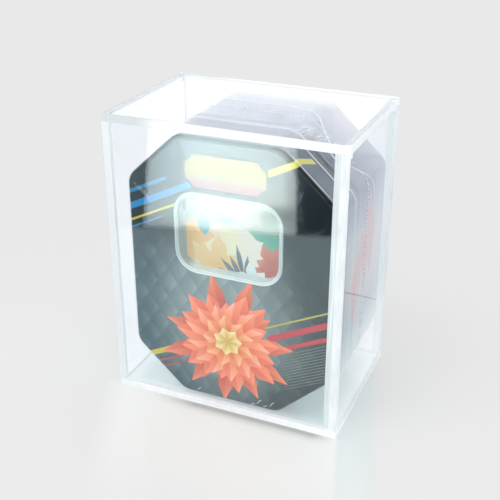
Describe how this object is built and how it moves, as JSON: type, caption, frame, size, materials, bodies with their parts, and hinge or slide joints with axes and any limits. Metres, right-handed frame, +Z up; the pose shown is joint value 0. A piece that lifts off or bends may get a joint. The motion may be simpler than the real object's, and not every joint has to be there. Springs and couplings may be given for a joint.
{
  "type": "trading card display case",
  "caption": "Clear acrylic display case with a lift-off magnetic lid, showing a sealed eight-sided card tin with a window.",
  "frame": {"origin": "centre of the footprint, on the surface that the case stands on", "axes": "+Z up, the front of the case towards -Y, +X to the right seen from the front"},
  "size_m": [0.153, 0.102, 0.19],
  "materials": {
    "clear_acrylic": "cast acrylic sheet, polished edges",
    "magnet_nickel": "nickel plated disc",
    "printed_tinplate": "offset printed tinplate under gloss varnish",
    "clear_plastic": "clear moulded plastic",
    "white_board": "coated white board",
    "printed_card": "printed card stock, satin varnish",
    "white_tray": "thermoformed sheet",
    "foil_pack": "printed metallised film",
    "shrink_film": "clear shrink film"
  },
  "bodies": {
    "case": {"base_panel": "clear_acrylic", "front_panel": "clear_acrylic", "back_panel": "clear_acrylic", "left_panel": "clear_acrylic", "right_panel": "clear_acrylic", "wall_magnets": "magnet_nickel"},
    "lid": {"lid_panel": "clear_acrylic", "lid_magnets": "magnet_nickel"},
    "tin": {"tin_base": "printed_tinplate", "tin_lid": "printed_tinplate", "window_frame": "clear_plastic", "window_pane": "clear_plastic", "card_bezel": "white_board", "display_card": "printed_card", "card_riser": "white_board", "pack_tray": "white_tray", "info_card": "printed_card", "booster_pack_1": "foil_pack", "booster_pack_2": "foil_pack", "booster_pack_3": "foil_pack", "booster_pack_4": "foil_pack", "booster_pack_5": "foil_pack", "shrink_film": "shrink_film"}
  },
  "joints": [
    {"name": "lid_lift", "type": "slide", "parent": "case", "child": "lid", "axis": [0, 0, 1], "range_m": [0, 0.24]},
    {"name": "tin_lift", "type": "slide", "parent": "case", "child": "tin", "axis": [0, 0, 1], "range_m": [0, 0.1848]}
  ],
  "couplings": [
    {"joint": "tin_lift", "follows": "lid_lift", "ratio": 0.77}
  ]
}
